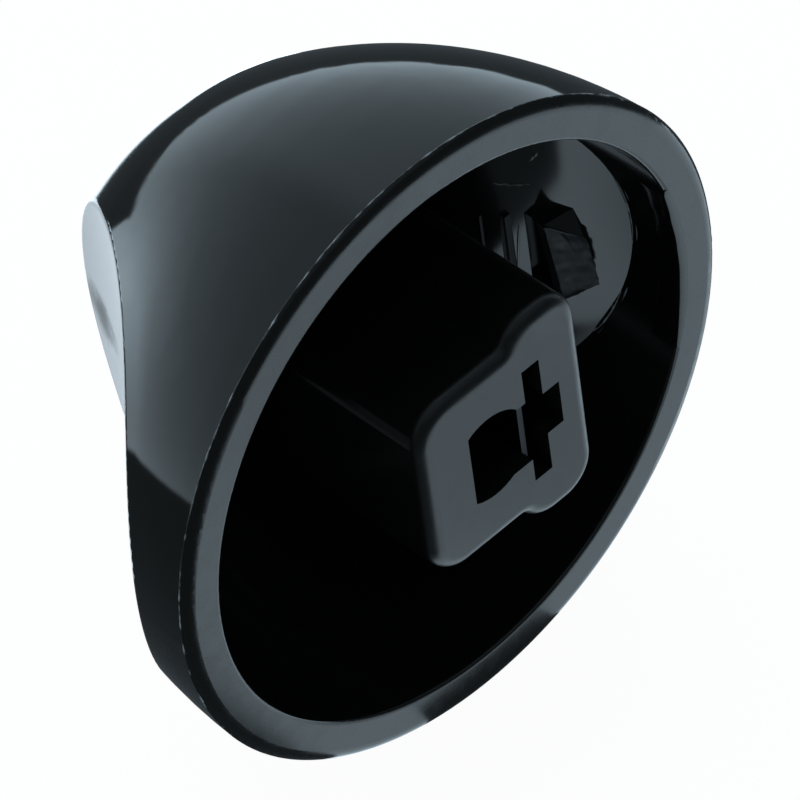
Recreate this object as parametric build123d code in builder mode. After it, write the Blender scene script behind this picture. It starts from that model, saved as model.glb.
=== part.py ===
from build123d import *
from math import asin, atan2, cos, degrees, radians, sin, sqrt, tan
import os

# Turning knob for the steam tap of an espresso machine, in millimetres.
# The shaft axis lies along Y: the domed front points to -Y and the open back to +Y.
# The origin is on the shaft axis in the plane of the rim. The grip fin stands along Z,
# and a finger facet is cut on each side of it, on +X and on -X.

# Cap
rim_radius = 21.0
cap_height = 25.75
crown_inset = 2.35
side_draft = 2.2
cap_wall = 2.7
rim_bevel_width = 0.8
rim_bevel_height = 0.45
rim_inner_round = 0.25

# Finger facets
facet_angle = 48.9
facet_reach = 17.3
facet_radius = 41.6
facet_wall = 2.2
facet_edge_round = 0.6

# Stem, two blocks in line along X with the wider one on -X
stem_proud = 2.67
stem_flat_side = 5.05
stem_waist = 1.8
stem_spring_side = 7.6
stem_narrow_width = 13.1
stem_wide_width = 15.8
stem_corner_round = 2.45
stem_waist_round = 0.9
stem_end_round = 0.85

# Socket for a D shaft, with a cross slot for the leaf and flexing room behind it
shaft_diameter = 6.0
shaft_flat = 4.5
shaft_clearance = 0.02
socket_depth = 18.0
neck_width = 4.6
neck_shift = -0.35
slot_width = 1.36
slot_length = 8.8
slot_depth = 13.0
pocket_width = 3.2
pocket_reach = 1.27

# Leaf spring in the cross slot, a straight blade with a foot
leaf_thickness = 0.4
leaf_recess = 0.9
leaf_bend = 0.3
leaf_grip = 0.06
leaf_clearance = 0.03
leaf_end_play = 0.1

# Moulding marks on the underside of the -X facet: a torn gate post beside two low steps
mark_length = 5.3
mark_shift = -0.5
gate_inner = 13.45
gate_width = 2.05
gate_short_side = 2.3
gate_height = 1.45
gate_tear_angle = 9.7
gate_lean_angle = 21.3
low_step_inner = 11.58
low_step_height = 0.22
high_step_inner = 12.43
high_step_height = 0.5

# Cap section, a side arc and a crown arc that run into each other.
# The side arc starts at the parting line with its draft and touches the crown circle from outside.
draft = radians(side_draft)
crown_radius = rim_radius - crown_inset
crown_center = cap_height - crown_radius
arc_rise = cap_height - rim_bevel_height
side_radius = (rim_radius**2 + arc_rise**2 - 2 * arc_rise * crown_radius) / (
    2 * (rim_radius * cos(draft) - (arc_rise - crown_radius) * sin(draft) - crown_radius)
)
side_center_x = rim_radius - side_radius * cos(draft)
side_center_y = side_radius * sin(draft) - rim_bevel_height
join_angle = degrees(atan2(crown_center + side_center_y, -side_center_x))

inner_start = degrees(asin(side_center_y / (side_radius - cap_wall)))
inner_rim = side_center_x + (side_radius - cap_wall) * cos(radians(inner_start))

# The facet cylinders lie along Z, their axes out beyond the cap on both sides
facet_axis_x = (facet_reach + facet_radius) * sin(radians(facet_angle))
facet_axis_y = -(facet_reach + facet_radius) * cos(radians(facet_angle))
facet_places = [(facet_axis_x, facet_axis_y), (-facet_axis_x, facet_axis_y)]

# Socket lines along X, counted from the shaft axis towards -X
socket_radius = shaft_diameter / 2 + shaft_clearance
flat_line = shaft_flat - shaft_diameter / 2 + shaft_clearance
slot_inner = shaft_diameter / 2 - leaf_grip
slot_outer = slot_inner + slot_width


# Depth of the -X facet's underside at a distance from the shaft axis
def underside_depth(distance):
    run = facet_axis_x - distance
    return facet_axis_y + sqrt((facet_radius + facet_wall) ** 2 - run**2)


# Side and crown arcs of the cap, moved inwards by the inset
def cap_arcs(inset, start_angle):
    CenterArc(
        (side_center_x, side_center_y), side_radius - inset, -start_angle, start_angle - join_angle
    )
    CenterArc((0, -crown_center), crown_radius - inset, -join_angle, join_angle - 90)


# Stem section, a narrow block round the shaft's flat and a wide one round the leaf's slot
with BuildSketch() as stem_section:
    narrow_length = stem_flat_side + stem_waist + stem_corner_round
    wide_length = stem_spring_side - stem_waist
    with Locations((stem_flat_side - narrow_length / 2, 0)):
        RectangleRounded(narrow_length, stem_narrow_width, stem_corner_round)
    with Locations((wide_length / 2 - stem_spring_side, 0)):
        RectangleRounded(wide_length, stem_wide_width, stem_corner_round)
    offset(amount=stem_waist_round)
    offset(amount=-stem_waist_round)

# Room inside the cap, left free by the undersides of the facets and by the stem
with BuildPart() as cavity:
    with BuildSketch():
        with BuildLine():
            Line((0, 0), (inner_rim, 0))
            cap_arcs(cap_wall, inner_start)
            Line((0, cap_wall - cap_height), (0, 0))
        make_face()
    revolve(axis=Axis.Y)
    with Locations([(x, y, 0) for x, y in facet_places]):
        Cylinder(facet_radius + facet_wall, 4 * rim_radius, mode=Mode.SUBTRACT)
    with BuildSketch(Plane.XZ.offset(-stem_proud)):
        add(stem_section.sketch)
    extrude(amount=stem_proud + cap_height, mode=Mode.SUBTRACT)

# Gate post, rooted half way into the facet's wall. Its torn end slants up towards -X and towards -Z,
# and the tear runs down to the underside at one corner
with BuildPart() as gate:
    gate_outer = gate_inner + gate_width
    gate_root = underside_depth(gate_inner) - facet_wall
    mark_low = mark_shift - mark_length / 2
    mark_high = mark_shift + mark_length / 2
    tear_slope = tan(radians(gate_tear_angle))
    lean_slope = tan(radians(gate_lean_angle))
    gate_middle = gate_inner + gate_width / 2
    gate_top = underside_depth(gate_middle) + gate_height
    tip_top = gate_top - (gate_width * lean_slope + mark_length * tear_slope) / 2
    shoulder_top = tip_top + gate_width * lean_slope + (mark_length - gate_short_side) * tear_slope
    tip = Vector(-gate_inner, tip_top, mark_high)
    shoulder = Vector(-gate_outer, shoulder_top, mark_low + gate_short_side)
    corner = Vector(-gate_outer, underside_depth(gate_outer), mark_high)
    with BuildSketch(Plane.XZ.offset(-gate_root)):
        with Locations((-gate_middle, mark_shift)):
            Rectangle(gate_width, mark_length)
    extrude(amount=gate_root - shoulder_top - mark_length)
    with Locations((-facet_axis_x, facet_axis_y, 0)):
        Cylinder(facet_radius + facet_wall / 2, 4 * rim_radius, mode=Mode.SUBTRACT)
    split(bisect_by=Plane(origin=tip, z_dir=(lean_slope, 1, tear_slope)), keep=Keep.BOTTOM)
    split(bisect_by=Plane(origin=tip, z_dir=(shoulder - tip).cross(corner - tip)), keep=Keep.BOTTOM)

# Low steps beside the gate post: a face towards the shaft, and a tread that runs level into the underside
with BuildPart() as steps:
    step_root = facet_wall / 4
    for step_inner, step_height in ((low_step_inner, low_step_height), (high_step_inner, high_step_height)):
        step_floor = underside_depth(step_inner)
        tread = step_floor + step_height
        step_outer = facet_axis_x - sqrt((facet_radius + facet_wall) ** 2 - (tread - facet_axis_y) ** 2)
        with BuildSketch(Plane.XY.offset(mark_shift)):
            with BuildLine():
                Polyline(
                    (-step_inner, step_floor - step_root), (-step_inner, tread),
                    (-step_outer, tread), (-step_outer, tread - step_root), close=True,
                )
            make_face()
        extrude(amount=mark_length / 2, both=True)

# Knob, one moulding: cap with two finger facets, hollow, with the stem standing in it
with BuildPart() as knob:
    with BuildSketch():
        with BuildLine():
            bevel_start = rim_radius - rim_bevel_width
            Line((0, 0), (bevel_start, 0))
            TangentArc((bevel_start, 0), (rim_radius, -rim_bevel_height), tangent=(1, 0))
            cap_arcs(0, side_draft)
            Line((0, -cap_height), (0, 0))
        make_face()
    revolve(axis=Axis.Y)
    with Locations([(x, y, 0) for x, y in facet_places]):
        Cylinder(facet_radius, 4 * rim_radius, mode=Mode.SUBTRACT)
    fillet(knob.faces().filter_by(GeomType.CYLINDER).edges(), facet_edge_round)
    add(cavity.part, mode=Mode.SUBTRACT)
    inner_edge = knob.edges().filter_by(
        lambda edge: edge.geom_type == GeomType.CIRCLE and abs(edge.radius - inner_rim) < 0.01
    )
    fillet(inner_edge, rim_inner_round)
    with BuildSketch(Plane.XZ.offset(-stem_proud)):
        add(stem_section.sketch)
    extrude(amount=stem_proud)
    stem_end = knob.faces().sort_by(Axis.Y)[-1]
    fillet(stem_end.edges(), stem_end_round)

    add(gate.part)
    add(steps.part)

    # D socket with the neck that opens it to the leaf
    with BuildSketch(Plane.XZ.offset(-stem_proud)):
        Circle(socket_radius)
        with Locations((flat_line, 0)):
            Rectangle(socket_radius, shaft_diameter, align=(Align.MIN, Align.CENTER), mode=Mode.SUBTRACT)
        with Locations((0, neck_shift)):
            Rectangle(slot_inner, neck_width, align=(Align.MAX, Align.CENTER))
    extrude(amount=socket_depth, mode=Mode.SUBTRACT)

    # Cross slot for the leaf, and the pocket that its middle flexes into
    with BuildSketch(Plane.XZ.offset(-stem_proud)):
        with Locations((-slot_inner, 0)):
            Rectangle(slot_width, slot_length, align=(Align.MAX, Align.CENTER))
        with Locations((-slot_outer, 0)):
            Rectangle(pocket_reach, pocket_width, align=(Align.MAX, Align.CENTER))
    extrude(amount=slot_depth, mode=Mode.SUBTRACT)

# Steel leaf: a straight blade behind the neck, and a foot that holds it at the slot's floor
with BuildPart() as leaf:
    blade_front = -slot_inner - leaf_clearance
    blade_back = blade_front - leaf_thickness
    blade_end = stem_proud - leaf_recess
    foot_bottom = stem_proud - slot_depth + leaf_clearance
    foot_top = foot_bottom + leaf_thickness
    foot_end = leaf_clearance - slot_outer
    with BuildSketch() as leaf_section:
        with BuildLine():
            Polyline(
                (blade_front, blade_end), (blade_front, foot_bottom), (foot_end, foot_bottom),
                (foot_end, foot_top), (blade_back, foot_top), (blade_back, blade_end), close=True,
            )
        make_face()
        outer_corner = leaf_section.vertices().sort_by_distance((blade_front, foot_bottom))[0]
        fillet(outer_corner, leaf_bend + leaf_thickness)
        inner_corner = leaf_section.vertices().sort_by_distance((blade_back, foot_top))[0]
        fillet(inner_corner, leaf_bend)
    extrude(amount=slot_length / 2 - leaf_end_play, both=True)

os.makedirs("parts", exist_ok=True)
knob.part.label = "knob"
export_step(knob.part, "parts/knob.step")
leaf.part.label = "leaf_spring"
export_step(leaf.part, "parts/leaf_spring.step")
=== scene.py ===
import math

import bmesh
import bpy
import numpy as np
from mathutils import Matrix, Vector


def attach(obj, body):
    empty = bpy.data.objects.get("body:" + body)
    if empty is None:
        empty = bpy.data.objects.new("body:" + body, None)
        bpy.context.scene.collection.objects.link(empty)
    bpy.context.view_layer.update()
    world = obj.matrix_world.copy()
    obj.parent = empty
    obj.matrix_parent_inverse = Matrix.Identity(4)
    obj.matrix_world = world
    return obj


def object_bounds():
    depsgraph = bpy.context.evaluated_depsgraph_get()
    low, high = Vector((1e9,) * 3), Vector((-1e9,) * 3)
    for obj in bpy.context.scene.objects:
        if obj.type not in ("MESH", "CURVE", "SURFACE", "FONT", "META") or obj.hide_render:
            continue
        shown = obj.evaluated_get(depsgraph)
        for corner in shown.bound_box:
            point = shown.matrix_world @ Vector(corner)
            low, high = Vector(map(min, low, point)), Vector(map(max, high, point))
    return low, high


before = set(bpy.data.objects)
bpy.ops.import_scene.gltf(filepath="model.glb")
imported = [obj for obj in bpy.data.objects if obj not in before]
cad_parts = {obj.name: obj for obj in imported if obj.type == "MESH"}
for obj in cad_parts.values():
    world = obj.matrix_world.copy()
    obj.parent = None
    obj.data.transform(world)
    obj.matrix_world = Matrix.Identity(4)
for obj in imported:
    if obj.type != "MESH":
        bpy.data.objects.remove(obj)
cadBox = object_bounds()
scene = bpy.context.scene
mm = 0.001
print("frame loaded:", ", ".join(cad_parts))


# sRGB hex to linear RGBA
def hexColor(text):
    srgb = np.array([int(text[i:i + 2], 16) for i in (1, 3, 5)]) / 255
    linear = np.where(srgb <= 0.04045, srgb / 12.92, ((srgb + 0.055) / 1.055) ** 2.4)
    return (*linear.tolist(), 1.0)


# adds one node: its settings, then values or links for its sockets, in order or by name
def addNode(tree, kind, settings=None, *values, **named):
    node = tree.nodes.new("ShaderNode" + kind)
    for name, value in (settings or {}).items():
        setattr(node, name, value)
    for key, value in [*enumerate(values), *named.items()]:
        socket = node.inputs[key.replace("_", " ") if isinstance(key, str) else key]
        if isinstance(value, bpy.types.Node):
            value = value.outputs[0]
        if isinstance(value, bpy.types.NodeSocket):
            tree.links.new(value, socket)
        elif value is not None:
            socket.default_value = value
    return node


def newMaterial(name):
    material = bpy.data.materials.new(name)
    material.use_nodes = True
    material.node_tree.nodes.clear()
    return material, material.node_tree


# camera of the photograph: it looks down into the open back, turned a little about its own line of sight
camera = dict(
    toCamera=(0.4370, 0.5336, 0.7241), right=(-0.7002, 0.7071, -0.0984),
    distance=450 * mm, pxPerMm=17.907, rimCentrePx=(457.8, 434.9), imagePx=800, sensor=36.0, clip=(0.01, 10.0),
)


def makeCamera(s):
    data = bpy.data.cameras.new("photoCamera")
    obj = bpy.data.objects.new("photoCamera", data)
    scene.collection.objects.link(obj)
    back = Vector(s["toCamera"]).normalized()
    right = Vector(s["right"])
    up = back.cross(right)
    place = back * s["distance"]
    # the picture's centre lies beside the rim's centre, so the line of sight goes there
    offX, offY = ((s["imagePx"] / 2 - c) / s["pxPerMm"] * mm for c in s["rimCentrePx"])
    back = (place - right * offX + up * offY).normalized()
    right = (right - back * right.dot(back)).normalized()
    up = back.cross(right)
    obj.matrix_world = Matrix.Translation(place) @ Matrix((right, up, back)).transposed().to_4x4()
    data.sensor_width = s["sensor"]
    data.lens = s["pxPerMm"] / mm * s["distance"] * s["sensor"] / s["imagePx"]
    data.clip_start, data.clip_end = s["clip"]
    scene.camera = obj


makeCamera(camera)
print("camera placed")

# studio: white to the camera. The gloss sees a pale sweep in front of the knob, brightest low on its right,
# a dark table below the sweep, and a dim room over the open side, with a little light high up.
# Directions are degrees: azimuth from the front (-Y) towards +X, then elevation
studio = dict(
    tint=(0.80, 1.0, 1.13),   # cool daylight tubes
    sweep=0.40, nearSide=0.22, nearWay=(-104, 0), nearSoft=0.12, dark=0.075,
    foot=0.64, footFall=-4.8, footStart=-0.67,   # the sweep's foot falls off upwards by a factor of e in 12 degrees
    glowWay=(16, -3), glowCore=2.15, corePower=34, glowWide=0.7, widePower=9,
    room=0.07, fill=0.22, fillHeight=(0.45, 0.85), roomWay=(0, 1, 0), roomSoft=0.12,
    leftEdge=((-58, -10.5), (-30, -9)), middleEdge=((-24, -6.8), (-4, -1.5)),
    rightEdge=((36, -11.5), (52, -6.5)), edgeSoft=0.012, rightWay=(89, 0), rightSoft=0.008,
)


def direction(azimuth, elevation):
    a, e = math.radians(azimuth), math.radians(elevation)
    return (math.sin(a) * math.cos(e), -math.cos(a) * math.cos(e), math.sin(e))


# upward normal of the plane through the knob and two directions
def edgeNormal(first, second):
    n = Vector(direction(*first)).cross(Vector(direction(*second))).normalized()
    return tuple(n if n.z > 0 else -n)


def makeWorld(s):
    world = bpy.data.worlds.new("studio")
    world.use_nodes = True
    scene.world = world
    tree = world.node_tree
    tree.nodes.clear()
    way = addNode(tree, "TexCoord").outputs["Generated"]
    height = addNode(tree, "SeparateXYZ", None, way).outputs["Z"]
    times, plus = dict(operation="MULTIPLY"), dict(operation="ADD")
    smooth = dict(interpolation_type="SMOOTHSTEP")

    # soft step over the plane with this normal
    def beyond(normal, soft):
        along = addNode(tree, "VectorMath", dict(operation="DOT_PRODUCT"), way, normal).outputs["Value"]
        return addNode(tree, "MapRange", smooth, along, -soft, soft)

    # glow round the lamp, a power of the cosine of the angle from it
    def glow(amount, power):
        along = addNode(tree, "VectorMath", dict(operation="DOT_PRODUCT"), way, direction(*s["glowWay"]))
        ahead = addNode(tree, "Math", dict(operation="MAXIMUM"), along.outputs["Value"], 0.0)
        ahead = addNode(tree, "Math", dict(operation="POWER"), ahead, power)
        return addNode(tree, "Math", times, ahead, amount)

    edges = (s["leftEdge"], s["middleEdge"], s["rightEdge"])
    left, middle, right = (beyond(edgeNormal(*edge), s["edgeSoft"]) for edge in edges)
    left = addNode(tree, "Math", times, left, middle)
    mask = addNode(tree, "Mix", None, beyond(direction(*s["rightWay"]), s["rightSoft"]), None, left, right)
    rise = addNode(tree, "Math", dict(operation="MULTIPLY_ADD"), height, s["footFall"], s["footStart"])
    foot = addNode(tree, "Math", times, addNode(tree, "Math", dict(operation="EXPONENT"), rise), s["foot"])
    near = addNode(tree, "Math", times, beyond(direction(*s["nearWay"]), s["nearSoft"]), s["nearSide"])
    level = addNode(tree, "Math", plus, addNode(tree, "Math", plus, foot, near), s["sweep"])
    level = addNode(tree, "Math", plus, level, glow(s["glowCore"], s["corePower"]))
    level = addNode(tree, "Math", plus, level, glow(s["glowWide"], s["widePower"]))
    front = addNode(tree, "Mix", None, mask, None, s["dark"], level)
    back = addNode(tree, "MapRange", smooth, height, *s["fillHeight"], s["room"], s["fill"])
    level = addNode(tree, "Mix", None, beyond(s["roomWay"], s["roomSoft"]), None, front, back)
    light = addNode(tree, "VectorMath", dict(operation="SCALE"), s["tint"], Scale=level)
    seen = addNode(tree, "LightPath").outputs["Is Camera Ray"]
    gloss = addNode(tree, "Background", None, light)
    plain = addNode(tree, "Background", None, (1, 1, 1, 1))
    addNode(tree, "OutputWorld", None, addNode(tree, "MixShader", None, seen, gloss, plain))


makeWorld(studio)

# pale floor under the knob, white to the camera with a faint shadow
floor = dict(size=1.6, below=0.05, color="#f4f4f2", ownLight=0.9, glow=1.07)


def makeFloor(s):
    z = cadBox[0][2] - s["below"] * mm
    h = s["size"] / 2
    mesh = bpy.data.meshes.new("floor")
    mesh.from_pydata([(-h, -h, z), (h, -h, z), (h, h, z), (-h, h, z)], [], [(0, 1, 2, 3)])
    obj = bpy.data.objects.new("floor", mesh)
    scene.collection.objects.link(obj)
    material, tree = newMaterial("pale floor")
    seen = addNode(tree, "LightPath").outputs["Is Camera Ray"]
    share = addNode(tree, "Math", dict(operation="MULTIPLY"), seen, s["ownLight"])
    diffuse = addNode(tree, "BsdfDiffuse", None, hexColor(s["color"]))
    glow = addNode(tree, "Emission", None, (1, 1, 1, 1), s["glow"])
    addNode(tree, "OutputMaterial", None, addNode(tree, "MixShader", None, share, diffuse, glow))
    mesh.materials.append(material)
    obj.visible_glossy = False  # the gloss shows the studio instead


makeFloor(floor)

# white cards lying on the table for the gloss: one behind the open side, cut out where the knob stands to give its
# contact shadow as painted shade, and with a painted soft shadow of the knob on it, and one in front of the dome.
# Places and sizes are in mm
cards = dict(
    openSide=dict(
        below=0.03, light=1.28, tint=(0.80, 1.0, 1.13),
        # painted shadow of the knob: the card glows dimmer round shadowAt
        shadow=0.52, shadowAt=(-15.5, 19), shadowSize=(20, 13), shadowFade=(0.3, 1.0),
        # the notch round the knob's foot is painted shade, the knob's contact shadow
        outline=[(-75, 70), (-75, -3), (-7, -3), (-5.8, 2), (4.2, 2), (5.6, -3), (11, -3), (11, 70)],
    ),
    domeSide=dict(
        below=0.03, light=2.5, tint=(0.86, 1.0, 1.11),
        outline=[(-32, -78), (20, -78), (20, -28), (-32, -28)],
    ),
)


def makeCard(name, s):
    z = cadBox[0][2] - s["below"] * mm
    mesh = bpy.data.meshes.new(name)
    mesh.from_pydata([(x * mm, y * mm, z) for x, y in s["outline"]], [], [range(len(s["outline"]))])
    material, tree = newMaterial("white card, " + name)
    level = s["light"]
    # painted shadow: the card's glow is dimmed towards shadowAt
    if "shadow" in s:
        (atX, atY), (sizeX, sizeY) = s["shadowAt"], s["shadowSize"]
        place = addNode(tree, "TexCoord").outputs["Object"]
        offset = addNode(tree, "VectorMath", dict(operation="SUBTRACT"), place, (atX * mm, atY * mm, z))
        offset = addNode(tree, "VectorMath", dict(operation="DIVIDE"), offset, (sizeX * mm, sizeY * mm, 1))
        far = addNode(tree, "VectorMath", dict(operation="LENGTH"), offset).outputs["Value"]
        level = addNode(tree, "MapRange", dict(interpolation_type="SMOOTHSTEP"), far, *s["shadowFade"],
                        s["light"] - s["shadow"], s["light"])
    addNode(tree, "OutputMaterial", None, addNode(tree, "Emission", None, (*s["tint"], 1.0), level))
    mesh.materials.append(material)
    obj = bpy.data.objects.new(name, mesh)
    scene.collection.objects.link(obj)
    obj.visible_camera = False
    obj.visible_diffuse = False  # only the gloss sees it
    obj.visible_shadow = False


for name, s in cards.items():
    makeCard(name, s)
print("studio ready")

# Black ABS, injection moulded. The mould was polished on the cap, which mirrors the studio; spark eroded
# on the two finger facets, which look frosted; and plainly ground inside. The rim and the stem's end are
# dulled by handling, the stem's end a little more. Lengths are in mm
moulding = dict(
    color="#1a1917", worn="#242424", ior=1.53,
    polish=0.06, inside=0.13, satin=0.26, satinVary=0.06, stemSatin=0.09, frost=0.37,
    facetAngle=48.9, facetReach=17.3, facetRadius=41.6, facetEdge=(0.12, 0.02),
    rimRadius=21.0, capWall=2.7, narrowing=0.0145, wallSoft=0.4,
    rimFacing=(0.6, 0.97), rimDepth=(-0.35, -0.15), stemProud=2.67, stemEndDepth=(1.1, 0.7),
    cloudMm=1.6, cloudSpan=(0.3, 0.7),
    scuffMm=0.06, scuffLengthMm=2.5, scuffTurns=(0.7, -0.35), scuffSpan=(0.68, 0.76), scuffRough=0.12,
    smudgeAt=(5.9, -22.9, -0.6), smudgeSize=(2.0, 4.0, 3.2), smudgeVary=0.9, smudgeFade=(1.3, 0.5),
    smudgeRough=0.22,
    grainMm=0.22, grainDepth=0.022, peelMm=3.0, peelDepth=0.0012,
    breakAt=(-14.7, -5.7, 1.4), breakFade=(1.7, 1.4),
)


def makeMoulding(s):
    material, tree = newMaterial("black ABS, injection moulded")
    times, larger = dict(operation="MULTIPLY"), dict(operation="MAXIMUM")
    multiplyAdd, scale = dict(operation="MULTIPLY_ADD"), dict(operation="SCALE")
    smooth = dict(interpolation_type="SMOOTHSTEP")
    place = addNode(tree, "VectorMath", scale, addNode(tree, "TexCoord").outputs["Object"], Scale=1 / mm)
    at = addNode(tree, "SeparateXYZ", None, place).outputs

    # facets: the distance from the axis of the cylinder that cuts them, the same on both sides
    axis = s["facetReach"] + s["facetRadius"]
    turn = math.radians(s["facetAngle"])
    side = addNode(tree, "Math", dict(operation="ABSOLUTE"), at["X"])
    section = addNode(tree, "CombineXYZ", None, side, at["Y"])
    fromAxis = addNode(tree, "VectorMath", dict(operation="DISTANCE"), section,
                       (axis * math.sin(turn), -axis * math.cos(turn), 0)).outputs["Value"]
    facet = addNode(tree, "MapRange", smooth, fromAxis, *(s["facetRadius"] + edge for edge in s["facetEdge"]))

    # inside of the cup: well within the cap's outline, which narrows with the square of the depth
    ring = addNode(tree, "VectorMath", times, place, (1, 0, 1))
    radius = addNode(tree, "VectorMath", dict(operation="LENGTH"), ring).outputs["Value"]
    deep = addNode(tree, "Math", times, at["Y"], at["Y"])
    outline = addNode(tree, "Math", multiplyAdd, deep, s["narrowing"], radius)
    wallMiddle = s["rimRadius"] - s["capWall"] / 2
    within = addNode(tree, "MapRange", smooth, outline, wallMiddle, wallMiddle - s["wallSoft"])

    # faces that look out of the open side: the flat of the rim, and the stem's end with its rounding
    facing = addNode(tree, "SeparateXYZ", None, addNode(tree, "NewGeometry").outputs["Normal"]).outputs["Y"]
    flat = addNode(tree, "MapRange", smooth, facing, *s["rimFacing"])
    rim = addNode(tree, "Math", times, flat, addNode(tree, "MapRange", smooth, at["Y"], *s["rimDepth"]))
    stemEnd = addNode(tree, "MapRange", smooth, at["Y"], *(s["stemProud"] - depth for depth in s["stemEndDepth"]))
    satin = addNode(tree, "Math", larger, rim, stemEnd)

    # handling marks: cloudy dulling and fine hairline scuffs in two directions
    cloud = addNode(tree, "TexNoise", None, Vector=place, Scale=1 / s["cloudMm"], Detail=5.0, Roughness=0.6)
    scuff = None
    stretch = (1 / s["scuffLengthMm"], 1, 1 / s["scuffMm"])
    for turnY in s["scuffTurns"]:
        lines = addNode(tree, "Mapping", None, place, None, (0, turnY, 0), stretch)
        noise = addNode(tree, "TexNoise", None, Vector=lines, Scale=1.0, Detail=1.0)
        mark = addNode(tree, "MapRange", smooth, noise, *s["scuffSpan"])
        scuff = mark if scuff is None else addNode(tree, "Math", larger, scuff, mark)
    scuff = addNode(tree, "Math", times, scuff, satin)

    # a greasy thumb mark on the +X facet
    offset = addNode(tree, "VectorMath", dict(operation="SUBTRACT"), place, s["smudgeAt"])
    offset = addNode(tree, "VectorMath", dict(operation="DIVIDE"), offset, s["smudgeSize"])
    far = addNode(tree, "VectorMath", dict(operation="LENGTH"), offset).outputs["Value"]
    wobble = addNode(tree, "Math", multiplyAdd, cloud, s["smudgeVary"], far)
    smudge = addNode(tree, "MapRange", smooth, wobble, *s["smudgeFade"], 0.0, s["smudgeRough"])

    # spark-eroded grain on the facets and a faint waviness on the polished cap
    grain = addNode(tree, "TexNoise", None, Vector=place, Scale=1 / s["grainMm"], Detail=2.0, Roughness=0.6)
    grainBump = addNode(tree, "Bump", None, Strength=facet, Distance=s["grainDepth"] * mm, Height=grain)
    peel = addNode(tree, "TexNoise", None, Vector=place, Scale=1 / s["peelMm"], Detail=1.0)
    bump = addNode(tree, "Bump", None, Strength=1.0, Distance=s["peelDepth"] * mm, Height=peel, Normal=grainBump)

    # the gate's corner is a clean, glassy break
    near = addNode(tree, "VectorMath", dict(operation="DISTANCE"), place, s["breakAt"]).outputs["Value"]
    glassy = addNode(tree, "MapRange", smooth, near, *s["breakFade"])

    dull = addNode(tree, "MapRange", None, cloud, *s["cloudSpan"],
                   s["satin"] - s["satinVary"], s["satin"] + s["satinVary"])
    dull = addNode(tree, "Math", multiplyAdd, stemEnd, s["stemSatin"], dull)
    frost = addNode(tree, "Math", dict(operation="ADD"), smudge, s["frost"])
    rough = addNode(tree, "Mix", None, within, None, s["polish"], s["inside"])
    rough = addNode(tree, "Mix", None, glassy, None, rough, s["polish"])
    rough = addNode(tree, "Mix", None, satin, None, rough, dull)
    rough = addNode(tree, "Math", multiplyAdd, scuff, s["scuffRough"], rough)
    rough = addNode(tree, "Mix", None, facet, None, rough, frost)
    # a mix of colours has them on its inputs 6 and 7, and the result on its output 2
    color = addNode(tree, "Mix", dict(data_type="RGBA"), scuff)
    color.inputs[6].default_value = hexColor(s["color"])
    color.inputs[7].default_value = hexColor(s["worn"])
    shader = addNode(tree, "BsdfPrincipled", None, Base_Color=color.outputs[2], IOR=s["ior"],
                     Roughness=rough, Normal=bump)
    addNode(tree, "OutputMaterial", None, shader)
    return material


# Blued spring steel, cold rolled: dark, with fine rolling lines along the strip
springSteel = dict(
    color="#3c3c3e", dark="#232325", rough=0.34, roughVary=0.06,
    lineMm=0.05, lineLengthMm=6.0, lineDepth=0.004, lineStrength=0.4, lineSpan=(0.3, 0.7),
)


def makeSpringSteel(s):
    material, tree = newMaterial("blued spring steel, rolled")
    place = addNode(tree, "TexCoord").outputs["Object"]
    place = addNode(tree, "VectorMath", dict(operation="SCALE"), place, Scale=1 / mm)
    stretch = (1 / s["lineMm"], 1 / s["lineMm"], 1 / s["lineLengthMm"])
    lines = addNode(tree, "Mapping", None, place, None, None, stretch)
    noise = addNode(tree, "TexNoise", None, Vector=lines, Scale=1.0, Detail=2.0)
    color = addNode(tree, "Mix", dict(data_type="RGBA"), noise)
    color.inputs[6].default_value = hexColor(s["dark"])
    color.inputs[7].default_value = hexColor(s["color"])
    rough = addNode(tree, "MapRange", None, noise, *s["lineSpan"],
                    s["rough"] - s["roughVary"], s["rough"] + s["roughVary"])
    bump = addNode(tree, "Bump", None, Strength=s["lineStrength"], Distance=s["lineDepth"] * mm, Height=noise)
    shader = addNode(tree, "BsdfPrincipled", None, Base_Color=color.outputs[2], Metallic=1.0,
                     Roughness=rough, Normal=bump)
    addNode(tree, "OutputMaterial", None, shader)
    return material


mouldedAbs = makeMoulding(moulding)
bpy.data.objects["knob"].data.materials[0] = mouldedAbs
bpy.data.objects["leaf_spring"].data.materials[0] = makeSpringSteel(springSteel)
print("materials set")


# smooth noise: waves of random direction and phase over two coordinates, one for each length in mm
def waves(u, v, lengths, seed):
    rng = np.random.default_rng(seed)
    total = np.zeros(np.broadcast(u, v).shape)
    for length in lengths:
        turn, phase = rng.uniform(0, 2 * np.pi, 2)
        total += np.sin((u * np.cos(turn) + v * np.sin(turn)) * 2 * np.pi / length + phase)
    return total / np.sqrt(len(lengths))


sharpAngle = math.radians(40)


# puts a grid of points in mm, run by loop, into a mesh that rides with the knob. Each loop is closed;
# the runs are joined end to end, or else their first and last loops are already drawn to a point or line
def loopPiece(name, points, material, joined=False):
    runs, loops = points.shape[:2]
    index = np.arange(runs * loops).reshape(runs, loops)
    index = np.hstack([index, index[:, :1]])
    if joined:
        index = np.vstack([index, index[:1]])
    quads = np.stack([index[:-1, :-1], index[:-1, 1:], index[1:, 1:], index[1:, :-1]], -1).reshape(-1, 4)
    mesh = bpy.data.meshes.new(name)
    mesh.from_pydata((points.reshape(-1, 3) * mm).tolist(), [], quads.tolist())
    shape = bmesh.new()
    shape.from_mesh(mesh)
    bmesh.ops.remove_doubles(shape, verts=shape.verts, dist=1e-7)
    bmesh.ops.recalc_face_normals(shape, faces=shape.faces)
    shape.to_mesh(mesh)
    shape.free()
    mesh.shade_smooth()
    mesh.set_sharp_from_angle(angle=sharpAngle)
    mesh.materials.append(material)
    obj = bpy.data.objects.new(name, mesh)
    scene.collection.objects.link(obj)
    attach(obj, "root")
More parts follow.
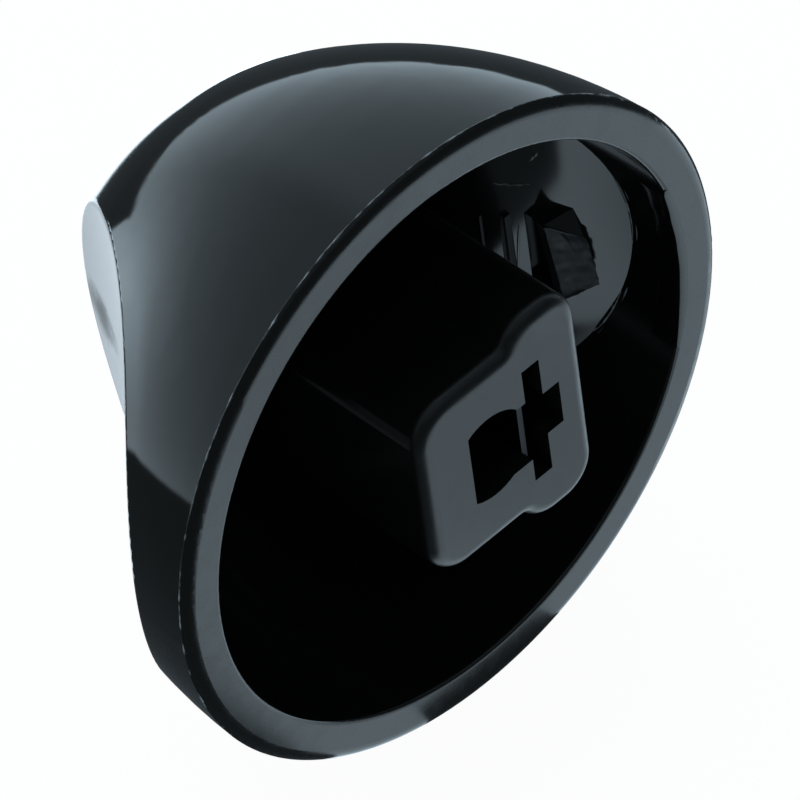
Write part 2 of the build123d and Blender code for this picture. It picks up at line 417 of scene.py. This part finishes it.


# Torn black ABS: dull and matt, with paler patches and a fibrous roughness. Thin flash is dark with pale patches,
# partly stress-whitening and partly a painted highlight for the lamp's glint on its edges, and the scars are
# whitened all along
tornAbs = dict(
    color="#141414", pale="#2a2b2b", patchAt=0.5, rough=0.6, shine=0.3, fibreMm=0.3, patchMm=0.75, fibreDepth=0.012,
)
flashAbs = dict(
    # the flash's pale patches are partly a painted highlight
    color="#1c1d1d", pale="#c4c9ca", patchAt=0.5, rough=0.38, shine=0.5, fibreMm=0.4, patchMm=1.0, fibreDepth=0.01,
)
whitenedAbs = dict(
    color="#5a5e5f", pale="#a4a9aa", patchAt=0.4, rough=0.45, shine=0.5, fibreMm=0.3, patchMm=0.75, fibreDepth=0.01,
)
tornCommon = dict(ior=1.53, patchSoft=0.2, roughVary=0.1, roughSpan=(0.3, 0.7))


def makeTorn(name, settings):
    s = {**tornCommon, **settings}
    material, tree = newMaterial(name)
    place = addNode(tree, "TexCoord").outputs["Object"]
    place = addNode(tree, "VectorMath", dict(operation="SCALE"), place, Scale=1 / mm)
    fibre = addNode(tree, "TexNoise", None, Vector=place, Scale=1 / s["fibreMm"], Detail=3.0)
    patch = addNode(tree, "TexNoise", None, Vector=place, Scale=1 / s["patchMm"], Detail=2.0)
    whiteness = addNode(tree, "MapRange", None, patch, s["patchAt"], s["patchAt"] + s["patchSoft"])
    color = addNode(tree, "Mix", dict(data_type="RGBA"), whiteness)
    color.inputs[6].default_value = hexColor(s["color"])
    color.inputs[7].default_value = hexColor(s["pale"])
    rough = addNode(tree, "MapRange", None, patch, *s["roughSpan"],
                    s["rough"] - s["roughVary"], s["rough"] + s["roughVary"])
    bump = addNode(tree, "Bump", None, Strength=1.0, Distance=s["fibreDepth"] * mm, Height=fibre)
    shader = addNode(tree, "BsdfPrincipled", None, Base_Color=color.outputs[2], IOR=s["ior"], Roughness=rough,
                     Specular_IOR_Level=s["shine"], Normal=bump)
    addNode(tree, "OutputMaterial", None, shader)
    return material


tornPlastic = makeTorn("black ABS, torn", tornAbs)
flashPlastic = makeTorn("black ABS, thin flash", flashAbs)
whitenedPlastic = makeTorn("black ABS, stress-whitened", whitenedAbs)

# flash along the parting line at the foot of the cap: a small fin round the rim whose height comes and goes,
# with burrs where it is thickest. Its section goes from the cap's side over the fin's tip to the rim's
# rounding and closes below the surface
partingFlash = dict(
    radius=21.0, line=-0.45, steps=2600, least=0.004, height=0.055,
    burstMm=(31, 17, 9, 5.3), burstSeed=3, burstMost=1.4,
    toothMm=(2.1, 1.2, 0.7, 0.43), toothSeed=8, toothMiddle=0.6, toothVary=0.5, toothSpan=(0.05, 1.3),
    burrs=[(72.5, 3.2, 0.09), (45.0, 0.7, 0.12), (58.3, 0.9, 0.05), (16.6, 0.9, 0.08)],   # degrees, half width, mm
    # outwards in mm and in heights of the fin, then along +Y in mm and in heights of the fin
    section=[
        (-0.012, 0, -0.09, 0), (0, 0.4, -0.03, 0), (0, 1, 0, 0.3),
        (-0.03, 0.2, 0.03, 0), (-0.075, 0, 0.08, 0), (-0.3, 0, -0.05, 0),
    ],
)


def makePartingFlash(s):
    a = np.linspace(0, 2 * np.pi, s["steps"], endpoint=False)
    u, v = s["radius"] * np.cos(a), s["radius"] * np.sin(a)
    bursts = np.clip(waves(u, v, s["burstMm"], s["burstSeed"]), 0, s["burstMost"])
    teeth = np.clip(s["toothMiddle"] + s["toothVary"] * waves(u, v, s["toothMm"], s["toothSeed"]), *s["toothSpan"])
    h = s["least"] + s["height"] * bursts * teeth
    for middle, half, size in s["burrs"]:
        h += size * np.exp(-((np.degrees(a) - middle) / half) ** 4) * teeth
    out, outShare, along, alongShare = np.array(s["section"]).T
    sectionR = s["radius"] + out + outShare * h[:, None]
    sectionY = s["line"] + along + alongShare * h[:, None]
    points = np.stack([sectionR * np.cos(a)[:, None], sectionY, sectionR * np.sin(a)[:, None]], -1)
    loopPiece("parting_flash", points, flashPlastic, joined=True)


makePartingFlash(partingFlash)

# underside of the -X facet, where the gate was: a cylinder along Z
underside = dict(axis=(44.384, -38.719), radius=43.8)


# depth of that underside at a distance from the shaft axis
def undersideDepth(distance):
    (x, y), r = underside["axis"], underside["radius"]
    return y + np.sqrt(r ** 2 - (x - distance) ** 2)


# torn skin on the end of the gate post: it covers the slanted tear and the top of the corner's break, with
# ridges, a lip pulled up along the outer edges, a crest between the two tears and a hooked tip
gateTear = dict(
    inner=13.45, width=2.05, length=5.3, shift=-0.5, shortSide=2.3, height=1.45, tear=9.7, lean=21.3,
    skin=0.025, skinShortSide=3.3, depth=0.6, runs=110, across=48,
    ridge=0.05, ridgeMm=(4.1, 2.7, 1.9, 1.2), ridgeSeed=21, fine=0.0125, fineMm=(0.7, 0.45), fineSeed=5,
    lip=0.1, lipReach=0.1, lipMm=(1.9, 1.1), lipSeed=13, lipMiddle=0.3, lipMost=1.3,
    crest=0.07, crestReach=0.12, crestMm=(1.3, 0.8), crestSeed=4, crestMiddle=0.5, crestMost=1.2,
    hookReach=0.35, hook=(0.3, 0.15, 0.2),
)


def makeGateTear(s):
    low, high = s["shift"] - s["length"] / 2, s["shift"] + s["length"] / 2
    middle, outer = s["inner"] + s["width"] / 2, s["inner"] + s["width"]
    tear, lean = math.tan(math.radians(s["tear"])), math.tan(math.radians(s["lean"]))
    z = np.linspace(low - s["skin"], high + s["skin"], s["runs"])[:, None]
    v = np.linspace(0, 1, s["across"])[None, :]
    span = s["width"] * np.clip((high - z) / (s["length"] - s["skinShortSide"]), 0, 1)
    x = -s["inner"] + s["skin"] - v * (span + 2 * s["skin"])

    def slanted(px, pz):
        return undersideDepth(middle) + s["height"] - lean * (px + middle) - tear * (pz - s["shift"])

    # the corner's break goes through the tip, the shoulder and the foot of the corner
    tip = Vector((-s["inner"], slanted(-s["inner"], high), high))
    shoulder = Vector((-outer, slanted(-outer, low + s["shortSide"]), low + s["shortSide"]))
    foot = Vector((-outer, float(undersideDepth(outer)), high))
    n = (shoulder - tip).cross(foot - tip)
    corner = tip.y - (n.x * (x - tip.x) + n.z * (z - tip.z)) / n.y
    whole = slanted(x, z)
    plane = np.minimum(whole, corner)
    torn = s["ridge"] * np.abs(waves(x, z, s["ridgeMm"], s["ridgeSeed"]))
    torn = torn + s["fine"] * waves(x, z, s["fineMm"], s["fineSeed"])
    edge = np.minimum((1 - v) * span, z - low)
    lip = np.clip(s["lipMiddle"] + waves(x, z, s["lipMm"], s["lipSeed"]), 0, s["lipMost"])
    lip = s["lip"] * np.exp(-np.clip(edge, 0, None) / s["lipReach"]) * lip
    crest = np.clip(s["crestMiddle"] + waves(x, z, s["crestMm"], s["crestSeed"]), 0, s["crestMost"])
    crest = s["crest"] * np.exp(-((whole - corner) / s["crestReach"]) ** 2) * crest
    end = np.exp(-np.hypot(z - high, x + s["inner"]) / s["hookReach"])
    hookX, hookY, hookZ = s["hook"]
    top = plane + torn + lip + crest + s["skin"] + hookY * end
    top = np.stack([x + hookX * end, top, z + hookZ * end], -1)
    # the skin turns down over the post's sides and closes inside it
    under = np.stack([x, plane - s["depth"], z + 0 * x], -1)[:, ::-1]
    points = np.concatenate([top, under], 1)
    ends = points[[0, -1]].mean(1, keepdims=True) + 0 * points[[0, -1]]
    loopPiece("gate_tear", np.concatenate([ends[:1], points, ends[1:]]), tornPlastic)


makeGateTear(gateTear)

# thin scars of the mould on the same underside: short ridges with pointed ends, two of them whitened.
# slope is the underside's rise towards the rim there, and outward its normal in X and Y
scars = dict(
    endsAt=[((-12.36, 4.6), (-13.86, 4.4)), ((-13.94, 6.23), (-14.3, 6.81)), ((-12.9, -2.6), (-13.2, 1.3))],
    whitened=2, width=0.14, height=0.07, steps=40, around=8, bend=0.05, bendLengths=(1.3, 0.5), bendPath=2,
    slope=0.9, outward=(0.67, 0.74),
)


def makeScars(s):
    t = np.linspace(0, 1, s["steps"])[:, None]
    around = np.linspace(0, 2 * np.pi, s["around"], endpoint=False)[None, :]
    fade = np.sqrt(np.clip(4 * t * (1 - t), 0, 1))
    side = np.cos(around) * s["width"] / 2 * fade
    rise = np.sin(around) * s["height"] * fade
    outX, outY = s["outward"]
    for number, ((x0, z0), (x1, z1)) in enumerate(s["endsAt"]):
        x = x0 + (x1 - x0) * t
        z = z0 + (z1 - z0) * t + s["bend"] * waves(t * s["bendPath"], t * 0, s["bendLengths"], number)
        acrossX, acrossZ = np.array([-(z1 - z0), (x1 - x0)]) / math.hypot(x1 - x0, z1 - z0)
        depth = undersideDepth(-x) - side * acrossX * s["slope"] + rise * outY
        points = np.stack([x + side * acrossX + rise * outX, depth, z + side * acrossZ], -1)
        loopPiece("mould_scar_%d" % number, points, whitenedPlastic if number < s["whitened"] else mouldedAbs)


makeScars(scars)

# flash in the corner between that underside and the cup's wall: two uneven beads, one along the edge and one
# a little up the wall. Each line has its lift in mm and its seed
cornerFlash = dict(
    wallCentre=(-12.016, 0.818), wallRadius=30.34, startDepth=-4.5, settle=40,
    start=-27, end=13, steps=420, around=8, lines=[(0.0, 31), (0.3, 47)],
    size=0.07, middle=0.3, vary=0.8, span=(0.02, 1.6), waveMm=(7.3, 4.1, 2.6), tall=1.6, endFade=60,
)


def makeCornerFlash(s):
    a = np.radians(np.linspace(s["start"], s["end"], s["steps"]))
    centreR, centreY = s["wallCentre"]

    def wall(depth):
        return centreR + np.sqrt(s["wallRadius"] ** 2 - (depth - centreY) ** 2)

    y = np.full_like(a, s["startDepth"])
    for _ in range(s["settle"]):   # settles where the wall's arc meets the underside
        r = wall(y)
        y = undersideDepth(r * np.cos(a))
    along = r * a
    around = np.linspace(0, 2 * np.pi, s["around"], endpoint=False)[None, :]
    ends = np.sqrt(np.clip((a - a[0]) * (a[-1] - a) * s["endFade"], 0, 1))
    for number, (lift, seed) in enumerate(s["lines"]):
        bead = np.clip(s["middle"] + s["vary"] * waves(along, along * 0, s["waveMm"], seed), *s["span"])
        size = (s["size"] * bead * ends)[:, None]
        rr = wall(y + lift)[:, None] + size * np.cos(around)
        yy = (y + lift)[:, None] + size * s["tall"] * np.sin(around)
        points = np.stack([-rr * np.cos(a)[:, None], yy, rr * np.sin(a)[:, None]], -1)
        loopPiece("corner_flash_%d" % number, points, flashPlastic)


makeCornerFlash(cornerFlash)

# lip on the rim's inner edge at the -X side, broken off short at its +Z end. Angles are degrees from -X
rimLip = dict(
    inner=18.33, start=-22, end=18, width=0.42, steps=160, grow=12, growPower=0.7,
    breakOff=1.2, breakShare=0.4, taper=8, uneven=0.04, unevenDeg=(13, 7), seed=17,
    # outwards in mm, inwards in widths of the lip, and along +Y in mm
    section=[
        (0.27, 0, -0.003), (0.12, 1, -0.003), (0.03, 1, -0.03), (0, 1, -0.12),
        (-0.03, 1, -0.5), (-0.15, 0.3, -1.8), (0.1, 0, -2.4),
    ],
)


def makeRimLip(s):
    deg = np.linspace(s["start"], s["end"], s["steps"])
    a = np.radians(deg)
    left = s["end"] - deg
    ending = s["breakShare"] * np.clip(left / s["breakOff"], 0, 1)
    ending = ending + (1 - s["breakShare"]) * np.clip(left / s["taper"], 0, 1)
    w = s["width"] * np.clip((deg - s["start"]) / s["grow"], 0, 1) ** s["growPower"] * ending
    w = w * (1 + s["uneven"] * waves(deg, deg * 0, s["unevenDeg"], s["seed"]))
    out, inShare, along = np.array(s["section"]).T
    sectionR = s["inner"] + out - inShare * w[:, None]
    sectionY = along + 0 * sectionR
    points = np.stack([-sectionR * np.cos(a)[:, None], sectionY, sectionR * np.sin(a)[:, None]], -1)
    points[0] = points[0].mean(0)
    points[-1] = points[-1].mean(0)
    loopPiece("rim_lip", points, mouldedAbs)


makeRimLip(rimLip)
print("moulding marks added")

scene.view_settings.view_transform = "Standard"
